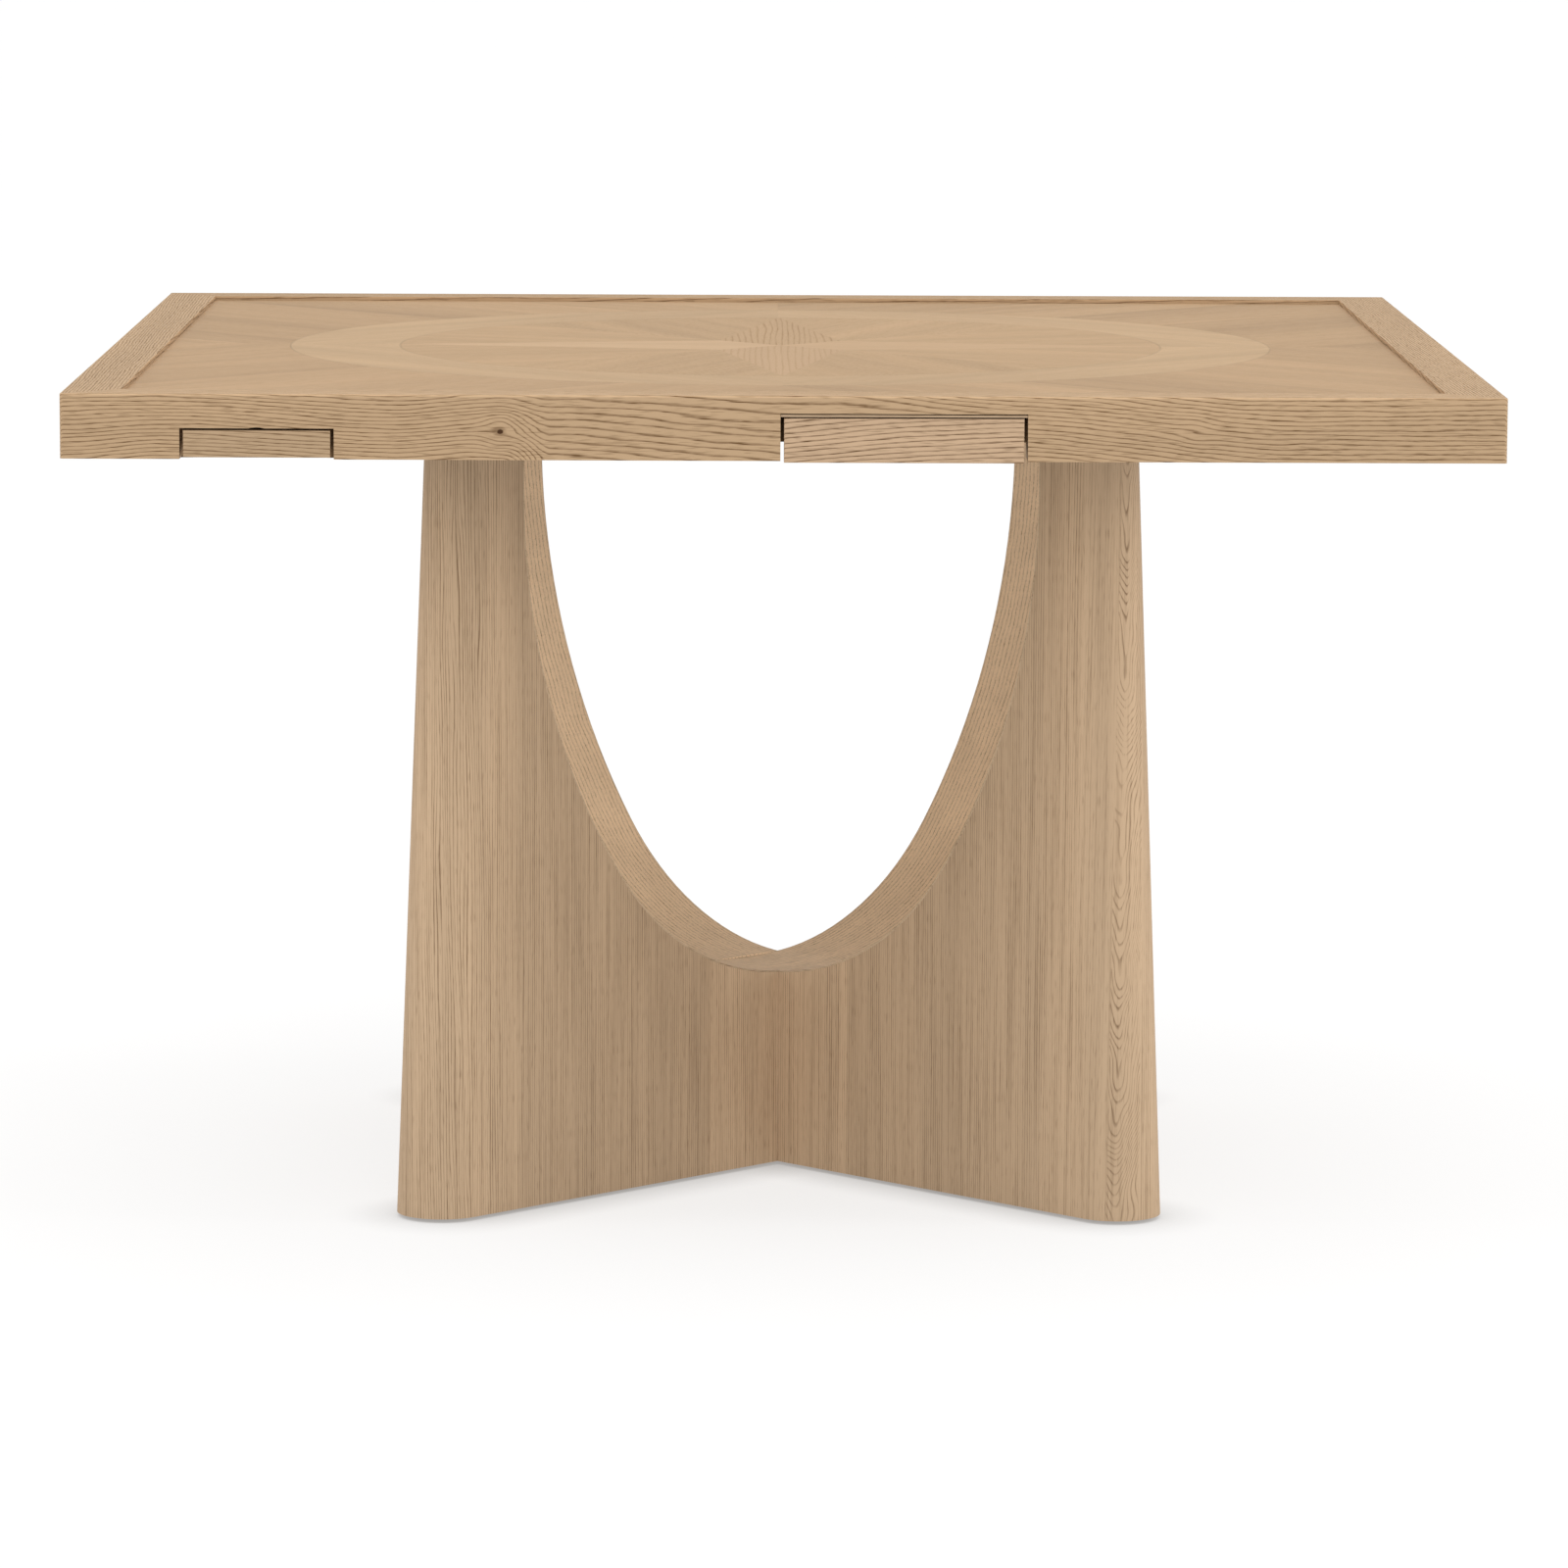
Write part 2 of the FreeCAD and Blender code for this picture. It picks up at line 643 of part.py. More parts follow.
def stadium(reach):
    """A slab's plan at one height: straight faces with half-round ends."""
    radius = "slab_thick / 2"
    end = f"{reach} - {radius}"
    return [
        (f"-({end})", f"-{radius}"),
        (end, f"-{radius}", radius),
        (reach, "0", radius),
        (end, radius),
        (f"-({end})", radius, radius),
        (f"-({reach})", "0", radius),
    ]


def make_slab(label, turn, lap_low, lap_high):
    """One arched slab, narrower at the top, lapped over the other and drilled at its ends."""
    slab = piece(label, turn)
    foot = sketch(slab, FLAT, [stadium("slab_foot_reach")], "glide_height")
    head = sketch(slab, FLAT, [stadium("slab_top_reach")], "rail_bottom")
    loft = slab.newObject("PartDesign::AdditiveLoft", f"{label}_loft")
    loft.Profile = foot
    loft.Sections = [head]
    loft.Ruled = True
    doc.recompute()
    outset = "(edging_thick + glue_line)"
    arch = arch_path(outset)
    top = f"rail_bottom + {OVERRUN}"
    cut(slab, FACING, [[(arch[0][0], top)] + arch + [(arch[-1][0], top)]], "-slab_thick", "slab_thick")
    cut(slab, FACING, [rectangle(
        "-slab_thick / 2 - lap_fit", lap_low, "slab_thick / 2 + lap_fit", lap_high)],
        "-slab_thick", "slab_thick")
    bolt_holes = [Circle(f"{end} * bolt_reach", f"{row} * bolt_spread", "bolt_diameter + 2 * hole_play")
                  for end in (1, -1) for row in (1, -1)]
    cut(slab, FLAT, bolt_holes, "bolt_tip - hole_play", "rail_bottom")
    pin_holes = [Circle(f"{end} * {reach}", "0", "glide_pin_diameter + 2 * hole_play")
                 for end in (1, -1) for reach in ("glide_outer_reach", "glide_inner_reach")]
    cut(slab, FLAT, pin_holes, "0", "glide_height + glide_pin_length + hole_play")


def make_edging(label, turn):
    """The bent edging strip that lines one slab's arch."""
    edging = piece(label, turn)
    outer = arch_path("edging_thick")
    inner = backwards(arch_path("0"))
    outline = [(outer[0][0], "rail_bottom")] + outer + [(outer[-1][0], "rail_bottom")]
    outline += [(inner[0][0], "rail_bottom")] + inner + [(inner[-1][0], "rail_bottom")]
    add(edging, FACING, [outline], "-slab_thick / 2", "slab_thick / 2")
    return edging


def make_foot():
    """The crossing slabs with their edgings, and the glides that they stand on."""
    make_slab("slab_through", DIAGONAL_ANGLE_DEG, "-glide_height", "slab_lap")
    make_slab("slab_crossing", -DIAGONAL_ANGLE_DEG, "slab_lap", "haunch_centre_z")
    make_edging("arch_edging_through", DIAGONAL_ANGLE_DEG)
    halves = make_edging("arch_edging_crossing", -DIAGONAL_ANGLE_DEG)
    cut(halves, FACING, [rectangle(
        "-slab_thick / 2 - lap_fit", "slab_lap", "slab_thick / 2 + lap_fit", "haunch_centre_z")],
        "-slab_thick", "slab_thick")

    glides = piece("floor_glides", DIAGONAL_ANGLE_DEG)
    reaches = ("glide_outer_reach", "glide_inner_reach")
    pads = add(glides, FLAT, [Circle(reach, "0", "glide_diameter") for reach in reaches],
               "0", "glide_height")
    pins = add(glides, FLAT, [Circle(reach, "0", "glide_pin_diameter") for reach in reaches],
               "glide_height", "glide_height + glide_pin_length")
    repeat_round(glides, [pads, pins])


make_field()
for index, side in enumerate(SIDES):
    make_rail(side, QUARTER_ANGLE_DEG * index)
    make_drawer(side, QUARTER_ANGLE_DEG * index)
    make_cup_slide(side, QUARTER_ANGLE_DEG * index)
make_under_frame()
make_bearers()
make_foot()

doc.recompute()
for item in doc.Objects:
    if "Invalid" in item.State or "Error" in item.State:
        raise RuntimeError(f"{item.Label} is not built: {item.State}")
for body in pieces:
    if body.Shape.isNull() or not body.Shape.isValid() or not body.Shape.Solids:
        raise RuntimeError(f"{body.Label} has no valid shape")

os.makedirs("parts", exist_ok=True)
for body in pieces:
    body.Shape.exportStep(f"parts/{body.Label}.step")
    print(f"{body.Label}: {len(body.Shape.Solids)} solids, {body.Shape.Volume / 1000:.1f} cm3")
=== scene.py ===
import math
import bpy
from mathutils import Matrix, Vector

# A pale oak games table: a mitred rail frame round an inlaid field, on two crossing arched slabs.
# All pieces are the solids of the frame. This script gives them their finishes, light and a camera.
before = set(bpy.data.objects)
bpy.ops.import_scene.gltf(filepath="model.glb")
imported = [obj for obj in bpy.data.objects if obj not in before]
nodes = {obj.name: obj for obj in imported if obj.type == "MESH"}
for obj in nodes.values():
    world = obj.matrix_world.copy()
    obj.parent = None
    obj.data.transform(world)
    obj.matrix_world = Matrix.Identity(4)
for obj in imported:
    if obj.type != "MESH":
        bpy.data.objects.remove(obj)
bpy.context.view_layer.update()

MM = 0.001
SIDES = ("front", "right", "back", "left")
QUARTERS = ("front_right", "back_right", "back_left", "front_left")
UP = Vector((0, 0, 1))
DIAGONAL = math.sqrt(0.5)

# The table's sizes that patterns are placed by, in millimetres
RAIL_BOTTOM = 707
RAIL_TOP = 762
ARCH_CENTRE = 456  # height of the middle of the arch's curve
ARCH_RADIUS = 274
SLAB_THICK = 82
HEAD_END = 389.5  # where the flat faces of a slab end, at its top
FOOT_END = 426  # and at the floor
RING_INNER = 350
RING_OUTER = 452
LEAF_TURN = math.radians(22.5)

# Veneer is cut from places this far apart in the log, in millimetres
LEG_STRETCH = 900.0
RIGHT_STRETCH = 1700.0
BACK_STRETCH = 3100.0
WIDE_STRETCH = 5300.0
PALE_FROM = 5000.0  # leaves from this far on are the paler ones
PLANK_STRETCH = 2000.0
LEAF_KEY = 0.01  # what a millimetre of stretch adds to a strip's number, which picks its wood
KEY_STEPS = 10.0  # steps from one strip's number to the next

# The grain of a knot and of the slabs' rounded ends, in millimetres
KNOT_REACH = 12.0  # how far a knot parts the rings
KNOT_LENGTH = 0.7  # a knot is longer along the grain, so the square of a distance counts less there
KNOT_COLOUR = "#4A3322"
CORE_RIM = 1.6  # the core has faded out at this many times the square of its size
FLAME_POINT = 6.0  # how blunt the points of the flames are
FLAME_SWAY = 16.0  # how far the points wander sideways
FLAME_RISE = 0.19  # how fast the flames follow each other up the leg
FLAME_SWELL = 46.0  # how unevenly they do
QUIET_HALF = 18.0  # half the width of the quiet strip beside the flames
CURL_BEFORE = 8.0  # the other leg's grain curls most this far before the flames' place
CURL_WIDTH = 16.0  # the curl is down to seven tenths this far from there
CURL_PUSH = 13.0  # how far it pushes the grain
CURL_LEFT = 0.15  # how much of the curl the flamed leg has
# How much bolder or fainter the lines are in a curl, on the quiet strip and in the flames
CURL_BOLDER, QUIET_FAINTER, FLAMES_FAINTER = 0.3, 0.65, 0.05

# A ring's dark line starts in the last share of the ring before and fades over the first share of its own
LINE_START = 0.88
LINE_START_SHADE = 0.9
LINE_FADE = 0.34
# A glue line is a fifth of a millimetre wide: drawn 1.6 mm wide on the ring's side of it, so that it shows
GLUE_WIDTH = 1.6
GLUE_SHADE = 0.84

# Matt lacquer on wood: hardly a shine, and rougher and lower in the pores
WOOD_IOR = 1.48
LACQUER_SHINE = 0.04
PORE_ROUGHNESS = 0.12
GRAIN_BUMP = 0.5
# Specks: broad blotches are this many specks wide and have this share in the colour
BLOTCH_SPECKS, BLOTCH_SHARE = 25, 0.3
SPECK_ROUGHNESS = 0.08
SPECK_BUMP = 0.4

# Stretches of a cloud's values that a pattern is read from
BROAD = (0.3, 0.7)
STRONG = (0.36, 0.64)
DASHED = (0.36, 0.6)
SPARSE = (0.58, 0.74)


def linear(colour):
    """The linear red, green, blue and alpha of an sRGB hex colour."""
    parts = [int(colour[i:i + 2], 16) / 255 for i in (1, 3, 5)]
    return [p / 12.92 if p <= 0.04045 else ((p + 0.055) / 1.055) ** 2.4 for p in parts] + [1]


def add(tree, kind, *values, out=0, more=None, **settings):
    """A node with its settings, and with values or links on its sockets. Gives one of its outputs."""
    node = tree.nodes.new(f"ShaderNode{kind}")
    for name, setting in settings.items():
        setattr(node, name, setting)
    for socket, value in [*enumerate(values), *(more or {}).items()]:
        if isinstance(value, bpy.types.NodeSocket):
            tree.links.new(value, node.inputs[socket])
        elif value is not None:
            node.inputs[socket].default_value = value
    return node.outputs[out]


def new_material(name):
    """An empty material with its shader, ready for a pattern."""
    material = bpy.data.materials.new(name)
    material.use_nodes = True
    tree = material.node_tree
    return material, tree, tree.nodes["Principled BSDF"]


def side_axes(index):
    """The directions along a side of the table and into it."""
    turn = index * math.pi / 2
    return Vector((math.cos(turn), math.sin(turn), 0)), Vector((-math.sin(turn), math.cos(turn), 0))


def slab_axes(sign):
    """The directions along a slab of the base and through it."""
    return Vector((DIAGONAL, sign * DIAGONAL, 0)), Vector((-sign * DIAGONAL, DIAGONAL, 0))


def board_place(tree, lie):
    """Millimetres along the grain, across it and through the board.

    The lie is three directions, or the name of a fold: round an arch or a slab, or onto all four sides.
    """
    place = add(tree, "TexCoord", out=3)
    place = add(tree, "VectorMath", place, (1 / MM, 1 / MM, 1 / MM), operation="MULTIPLY")
    if not isinstance(lie, str):
        return [add(tree, "VectorMath", place, axis, out=1, operation="DOT_PRODUCT") for axis in lie]
    x, y, z = [add(tree, "SeparateXYZ", place, out=i) for i in range(3)]
    if lie.startswith("arch"):
        span, face = slab_axes(1 if lie == "arch_through" else -1)
        reach = add(tree, "VectorMath", place, span, out=1, operation="DOT_PRODUCT")
        across = add(tree, "VectorMath", place, face, out=1, operation="DOT_PRODUCT")
        drop = add(tree, "Math", ARCH_CENTRE, z, operation="SUBTRACT")
        angle = add(tree, "Math", reach, drop, operation="ARCTAN2")
        return [add(tree, "Math", angle, ARCH_RADIUS, operation="MULTIPLY"), across, z]
    if lie.startswith("slab"):
        # Veneer wrapped round a slab: out along one face, round the end and back along the other face
        span, face = slab_axes(1 if lie == "slab_through" else -1)
        reach = add(tree, "VectorMath", place, span, out=1, operation="DOT_PRODUCT")
        depth = add(tree, "VectorMath", place, face, out=1, operation="DOT_PRODUCT")
        out = add(tree, "Math", reach, operation="ABSOLUTE")
        end = add(tree, "MapRange", z, 0.0, RAIL_BOTTOM, FOOT_END, HEAD_END)
        flat = add(tree, "Math", out, end, operation="MINIMUM")
        round_y = add(tree, "Math", out, flat, operation="SUBTRACT")
        round_x = add(tree, "Math", depth, -1.0, operation="MULTIPLY")
        turn = add(tree, "Math", round_y, round_x, operation="ARCTAN2")
        back = add(tree, "Math", add(tree, "Math", end, flat, operation="SUBTRACT"), 2.0, operation="MULTIPLY")
        far_face = add(tree, "Math", depth, 0.0, operation="GREATER_THAN")
        across = add(tree, "Math", far_face, back, flat, operation="MULTIPLY_ADD")
        across = add(tree, "Math", turn, SLAB_THICK / 2, across, operation="MULTIPLY_ADD")
        leg = add(tree, "Math", reach, 0.0, operation="GREATER_THAN")
        return [z, across, add(tree, "Math", leg, LEG_STRETCH, operation="MULTIPLY")]
    far_x = add(tree, "Math", x, operation="ABSOLUTE")
    far_y = add(tree, "Math", y, operation="ABSOLUTE")
    large = add(tree, "Math", far_x, far_y, operation="MAXIMUM")
    small = add(tree, "Math", far_x, far_y, operation="MINIMUM")
    if lie == "along_side":
        return [small, large, z]
    if lie == "into_side":
        return [large, small, z]
    # Each leaf of the inlay is cut from its own stretch of veneer
    right = add(tree, "Math", x, 0.0, operation="GREATER_THAN")
    back = add(tree, "Math", y, 0.0, operation="GREATER_THAN")
    stretch = add(tree, "Math", right, RIGHT_STRETCH, z, operation="MULTIPLY_ADD")
    stretch = add(tree, "Math", back, BACK_STRETCH, stretch, operation="MULTIPLY_ADD")
    turn = {"leaf": LEAF_TURN, "diagonal": math.pi / 4, "chord": -math.pi / 4}[lie]
    flat = add(tree, "CombineXYZ", far_x, far_y)
    if lie == "leaf":
        flat = add(tree, "CombineXYZ", large, small)
        wide = add(tree, "Math", far_x, far_y, operation="GREATER_THAN")
        stretch = add(tree, "Math", wide, WIDE_STRETCH, stretch, operation="MULTIPLY_ADD")
    along = (math.cos(turn), math.sin(turn), 0)
    across = (-math.sin(turn), math.cos(turn), 0)
    return [add(tree, "VectorMath", flat, along, out=1, operation="DOT_PRODUCT"),
            add(tree, "VectorMath", flat, across, out=1, operation="DOT_PRODUCT"), stretch]


def timber(name, lie, light, dark, ring=2.2, turn=0.9, sway=6, reach=420, ripple=1.3, run=75, contrast=0.8,
           breaks=0.4, hold=60, dash=0.4, pore=0.35, streak=0.0, tone=0.05, start=(0, 0, 0), slope=0.0, bend=0.0,
           falls=(), knots=(), crown=None, plank=None, leaf_tone=0.0, edge=None, staves=(), fade=None,
           joints=(), rough=0.55, relief=0.12):
    """Sawn or sliced wood with growth rings, broken pore lines and slow changes of tone.

    Lengths are in millimetres: ring is the width of a growth ring, sway how far the grain wanders over its
    reach, and ripple how far each line wavers over its run. A fall is a stretch along the board where the grain
    drops, with its drop at the lower and the upper edge. A knot is a place along and across the grain, with the
    size of its dark core and how far it pushes the grain aside. A crown is a strip across the grain where the
    rings close in flames: its first edge, the place of the flames' points and its last edge. A plank is the width
    of a glued-up strip, an edge a stretch across the grain and a fade one along it over which the colour changes.
    The edge paints light or shade, and on the slabs the fade paints shade. Staves are places across the grain
    where the colour steps, partly paler wood and partly painted light, and joints the radii of round glue lines.
    Start is the place in the log that a board is cut from.
    """
    material, tree, shader = new_material(name)
    along, across, through = board_place(tree, lie)
    levels = []
    if plank:
        # Each glued-up strip has its own stretch of grain and its own tone
        strip = add(tree, "Math", add(tree, "Math", across, plank, operation="DIVIDE"), operation="FLOOR")
        key = add(tree, "Math", through, LEAF_KEY, strip, operation="MULTIPLY_ADD")
        key = add(tree, "Math", add(tree, "Math", key, KEY_STEPS, operation="MULTIPLY"), operation="FLOOR")
        chance = add(tree, "TexWhiteNoise", None, key, noise_dimensions="1D")
        along = add(tree, "Math", chance, PLANK_STRETCH, along, operation="MULTIPLY_ADD")
        levels.append(add(tree, "MapRange", chance, 0.0, 1.0, 1 - leaf_tone, 1 + leaf_tone))
    elif leaf_tone:
        pale = add(tree, "Math", through, PALE_FROM, operation="GREATER_THAN")
        levels.append(add(tree, "MapRange", pale, 0.0, 1.0, 1 - leaf_tone, 1 + leaf_tone))
    if edge:
        # The edge of the board, from one place across it to another, is painted lighter or darker: painted light
        # or shade
        first, last, painted_light_level = edge
        from_middle = add(tree, "Math", across, operation="ABSOLUTE")
        levels.append(add(tree, "MapRange", from_middle, first, last, 1.0, painted_light_level))
    if staves:
        # Staves side by side, each from its place on and a step lighter or darker than the one before
        level = 1.0
        for joint, step in staves:
            beyond = add(tree, "Math", across, joint, operation="GREATER_THAN")
            level = add(tree, "Math", beyond, step, level, operation="MULTIPLY_ADD")
        levels.append(level)
    if fade:
        # The board's colour changes along it; on the slabs this is painted shade, darker towards the floor
        first, last, end_tone = fade
        levels.append(add(tree, "MapRange", along, first, last, 1.0, end_tone))
    for joint in joints:
        # A thin dark glue line, round the middle of the table
        flat = add(tree, "VectorMath", add(tree, "TexCoord", out=3), (1 / MM, 1 / MM, 0), operation="MULTIPLY")
        radius = add(tree, "VectorMath", flat, out=1, operation="LENGTH")
        glue = add(tree, "Math", radius, joint, GLUE_WIDTH, operation="COMPARE")
        levels.append(add(tree, "MapRange", glue, 0.0, 1.0, 1.0, GLUE_SHADE))
    moved = [add(tree, "Math", part, offset, operation="ADD")
             for part, offset in zip((along, across, through), start)]
    place = add(tree, "CombineXYZ", *moved)

    # Cloudy patterns drawn out along the grain, by their length along, across and through it, and their detail
    patterns = [("sway", (reach, reach / 7, reach / 7), 1.0), ("waver", (run, 9, 9), 2.0),
                ("strength", (hold, 6, 6), 2.0), ("dashes", (10, 1.2, 1.2), 2.0), ("pores", (14, 0.9, 0.9), 0.0),
                ("tone", (650, 34, 34), 2.0)]
    if streak:
        patterns.append(("streaks", (170, 3.4, 3.4), 3.0))
    if crown:
        patterns += [("flames", (130, 70, 300), 2.0), ("curl", (190, 15, 15), 1.0)]
    clouds = {}
    for cloud, lengths, detail in patterns:
        drawn = add(tree, "VectorMath", place, [1 / length for length in lengths], operation="MULTIPLY")
        clouds[cloud] = add(tree, "TexNoise", drawn, None, 1.0, detail)

    # The ring field: how far out of the log each point lay
    field = add(tree, "Math", moved[1], math.cos(turn), operation="MULTIPLY")
    field = add(tree, "Math", moved[2], math.sin(turn), field, operation="MULTIPLY_ADD")
    if crown:
        # Round the end of a slab one leg has a strip of flames, whose points hang down, beside a quiet strip.
        # On the other leg the grain curls there.
        first, point, last = crown
        flamed = add(tree, "Math", through, 0.0, operation="GREATER_THAN")
        strip = add(tree, "Math", across, (first + last) / 2, (last - first) / 2, operation="COMPARE")
        strip = add(tree, "Math", strip, flamed, operation="MULTIPLY")
        quiet_strip = add(tree, "Math", across, first - QUIET_HALF, QUIET_HALF, operation="COMPARE")
        quiet_strip = add(tree, "Math", quiet_strip, flamed, operation="MULTIPLY")
        off = add(tree, "Math", across, point + FLAME_SWAY / 2, operation="SUBTRACT")
        off = add(tree, "Math", clouds["sway"], FLAME_SWAY, off, operation="MULTIPLY_ADD")
        square = add(tree, "Math", off, off, operation="MULTIPLY")
        closed = add(tree, "Math", add(tree, "Math", square, FLAME_POINT ** 2, operation="ADD"), operation="SQRT")
        closed = add(tree, "Math", along, -FLAME_RISE, closed, operation="MULTIPLY_ADD")
        closed = add(tree, "Math", clouds["flames"], FLAME_SWELL, closed, operation="MULTIPLY_ADD")
        field = add(tree, "Mix", strip, None, field, closed)
        off = add(tree, "Math", across, first - CURL_BEFORE, operation="SUBTRACT")
        square = add(tree, "Math", off, off, operation="MULTIPLY")
        near = add(tree, "Math", square, CURL_WIDTH ** -2, 1.0, operation="MULTIPLY_ADD")
        near = add(tree, "Math", near, -0.5, operation="POWER")
        left = add(tree, "MapRange", flamed, 0.0, 1.0, 1.0, CURL_LEFT)
        near = add(tree, "Math", near, left, operation="MULTIPLY")
        curl = add(tree, "Math", clouds["curl"], 0.5, operation="SUBTRACT")
        push = add(tree, "Math", near, CURL_PUSH, operation="MULTIPLY")
        field = add(tree, "Math", curl, push, field, operation="MULTIPLY_ADD")
    if slope or bend:
        climb = add(tree, "Math", along, -bend, slope, operation="MULTIPLY_ADD")
        climbed = add(tree, "Math", along, climb, operation="MULTIPLY")
        field = add(tree, "Math", field, climbed, operation="SUBTRACT")
    for cloud, swing in (("sway", sway), ("waver", ripple)):
        swung = add(tree, "Math", clouds[cloud], 0.5, operation="SUBTRACT")
        field = add(tree, "Math", swung, swing * 2, field, operation="MULTIPLY_ADD")
    for first, last, low_drop, high_drop in falls:
        drop = add(tree, "MapRange", across, RAIL_BOTTOM, RAIL_TOP, low_drop, high_drop)
        passed = add(tree, "MapRange", along, first, last, interpolation_type="SMOOTHSTEP")
        field = add(tree, "Math", passed, drop, field, operation="MULTIPLY_ADD")
    cores = []
    for knot_along, knot_across, core, push in knots:
        # The rings part round a knot, and its core is dark and uneven
        off_along = add(tree, "Math", along, knot_along, operation="SUBTRACT")
        off_across = add(tree, "Math", across, knot_across, operation="SUBTRACT")
        square_along = add(tree, "Math", off_along, off_along, operation="MULTIPLY")
        square = add(tree, "Math", off_across, off_across, operation="MULTIPLY")
        square = add(tree, "Math", square_along, KNOT_LENGTH, square, operation="MULTIPLY_ADD")
        around = add(tree, "Math", add(tree, "Math", square, -KNOT_REACH ** -2, operation="MULTIPLY"),
                     operation="EXPONENT")
        parted = add(tree, "Math", off_across, around, operation="MULTIPLY")
        field = add(tree, "Math", parted, -push, field, operation="MULTIPLY_ADD")
        if core:
            rim = add(tree, "Math", clouds["dashes"], core ** 2, square, operation="MULTIPLY_ADD")
            cores.append(add(tree, "MapRange", rim, core ** 2, CORE_RIM * core ** 2, 1.0, 0.0))

    # Open pores make a dark line at the start of each ring, which fades into the denser late wood
    saw = add(tree, "Math", add(tree, "Math", field, ring, operation="DIVIDE"), operation="FRACT")
    after = add(tree, "MapRange", saw, 0.0, LINE_FADE, 1.0, 0.0, interpolation_type="SMOOTHSTEP")
    before = add(tree, "MapRange", saw, LINE_START, 1.0, 0.0, LINE_START_SHADE, interpolation_type="SMOOTHSTEP")
    line = add(tree, "Math", after, before, operation="MAXIMUM")
    strength = add(tree, "MapRange", clouds["strength"], *STRONG, 1 - breaks, 1.0)
    dashes = add(tree, "MapRange", clouds["dashes"], *DASHED, 1 - dash, 1.0)
    whole = add(tree, "Math", strength, dashes, operation="MULTIPLY")
    line = add(tree, "Math", line, whole, operation="MULTIPLY")
    if crown:
        # Lines are bolder where the grain curls and faint on the quiet strip
        weight = add(tree, "Math", near, CURL_BOLDER, 1.0, operation="MULTIPLY_ADD")
        weight = add(tree, "Math", quiet_strip, -QUIET_FAINTER, weight, operation="MULTIPLY_ADD")
        weight = add(tree, "Math", strip, -FLAMES_FAINTER, weight, operation="MULTIPLY_ADD")
        line = add(tree, "Math", line, weight, operation="MULTIPLY")
    # Single pores are a third of a millimetre wide: drawn at nearly one, so that they show
    pores = add(tree, "MapRange", clouds["pores"], *SPARSE)
    marks = add(tree, "Math", pores, pore, line, operation="MULTIPLY_ADD")
    if streak:
        streaks = add(tree, "MapRange", clouds["streaks"], *BROAD, -streak, streak)
        marks = add(tree, "Math", marks, streaks, operation="ADD", use_clamp=True)

    shade = add(tree, "Math", marks, contrast, operation="MULTIPLY")
    colour = add(tree, "Mix", shade, more={6: linear(light), 7: linear(dark)}, out=2, data_type="RGBA")
    for core in cores:
        colour = add(tree, "Mix", core, more={6: colour, 7: linear(KNOT_COLOUR)}, out=2, data_type="RGBA")
    slow = add(tree, "MapRange", clouds["tone"], *BROAD, 1 - tone, 1 + tone)
    for level in levels:
        slow = add(tree, "Math", slow, level, operation="MULTIPLY")
    colour = add(tree, "HueSaturation", more={"Value": slow, "Color": colour})
    tree.links.new(colour, shader.inputs["Base Color"])
    worn = add(tree, "Math", marks, PORE_ROUGHNESS, rough, operation="MULTIPLY_ADD")
    tree.links.new(worn, shader.inputs["Roughness"])
    height = add(tree, "Math", marks, -1.0, operation="MULTIPLY")
    bump = add(tree, "Bump", more={"Strength": GRAIN_BUMP, "Distance": relief * MM, "Height": height})
    tree.links.new(bump, shader.inputs["Normal"])
    shader.inputs["IOR"].default_value = WOOD_IOR
    shader.inputs["Specular IOR Level"].default_value = LACQUER_SHINE
    return material


def speckled(name, light, dark, grain, rough, metallic=0.0, relief=0.05):
    """A finish with no direction: pressed fibre, zinc plating or moulded nylon, with specks of a given size."""
    material, tree, shader = new_material(name)
    place = add(tree, "TexCoord", out=3)
    fine = add(tree, "TexNoise", place, None, 1 / (grain * MM), 3.0)
    broad = add(tree, "TexNoise", place, None, 1 / (BLOTCH_SPECKS * grain * MM), 2.0)
    spots = add(tree, "Mix", BLOTCH_SHARE, None, fine, broad)
    colour = add(tree, "Mix", spots, more={6: linear(light), 7: linear(dark)}, out=2, data_type="RGBA")
    tree.links.new(colour, shader.inputs["Base Color"])
    worn = add(tree, "MapRange", fine, 0.0, 1.0, rough - SPECK_ROUGHNESS, rough + SPECK_ROUGHNESS)
    tree.links.new(worn, shader.inputs["Roughness"])
    bump = add(tree, "Bump", more={"Strength": SPECK_BUMP, "Distance": relief * MM, "Height": fine})
    tree.links.new(bump, shader.inputs["Normal"])
    shader.inputs["Metallic"].default_value = metallic
    return material


def finish(material, *names):
    """Give one finish to these pieces of the table."""
    for name in names:
        mesh = nodes[name].data
        mesh.materials.clear()
        mesh.materials.append(material)


# Oak rails, flat sawn and matt lacquered: pale tan with darker broken lines of open pores along each ring.
# On the front rail the grain drops past a small knot, and again beside the drawer. The tops are painted paler, the
# front one most: painted light where the light from above falls.
OAK_LIGHT, OAK_DARK = "#BA9D7C", "#684D32"
FRONT_FALLS = ((-610, -520, -5, -1), (-500, -330, 6, 4), (-330, -250, -3, -4), (-238, -196, 15, 2),
               (-200, 40, 8, 4), (40, 200, -4, 8), (190, 420, 11, 9))
FRONT_KNOTS = ((-239, 731, 2.3, 0.6), (346, 733, 0, 0.25))
RAIL_SLOPES = (0.0, 0.02, -0.015, 0.01)
# Birch drawer boxes: close pale grain with hardly a line
BIRCH = dict(light="#C2AF93", dark="#AB916F", ring=5.0, sway=8, contrast=0.5, pore=0.12, tone=0.04)
# Sliced oak veneer of the star: straight grain along each point, the points a shade apart
STAR_LIGHT = {"front": "#C4A481", "right": "#CAAA86", "back": "#C2A27E", "left": "#CFAF8B"}

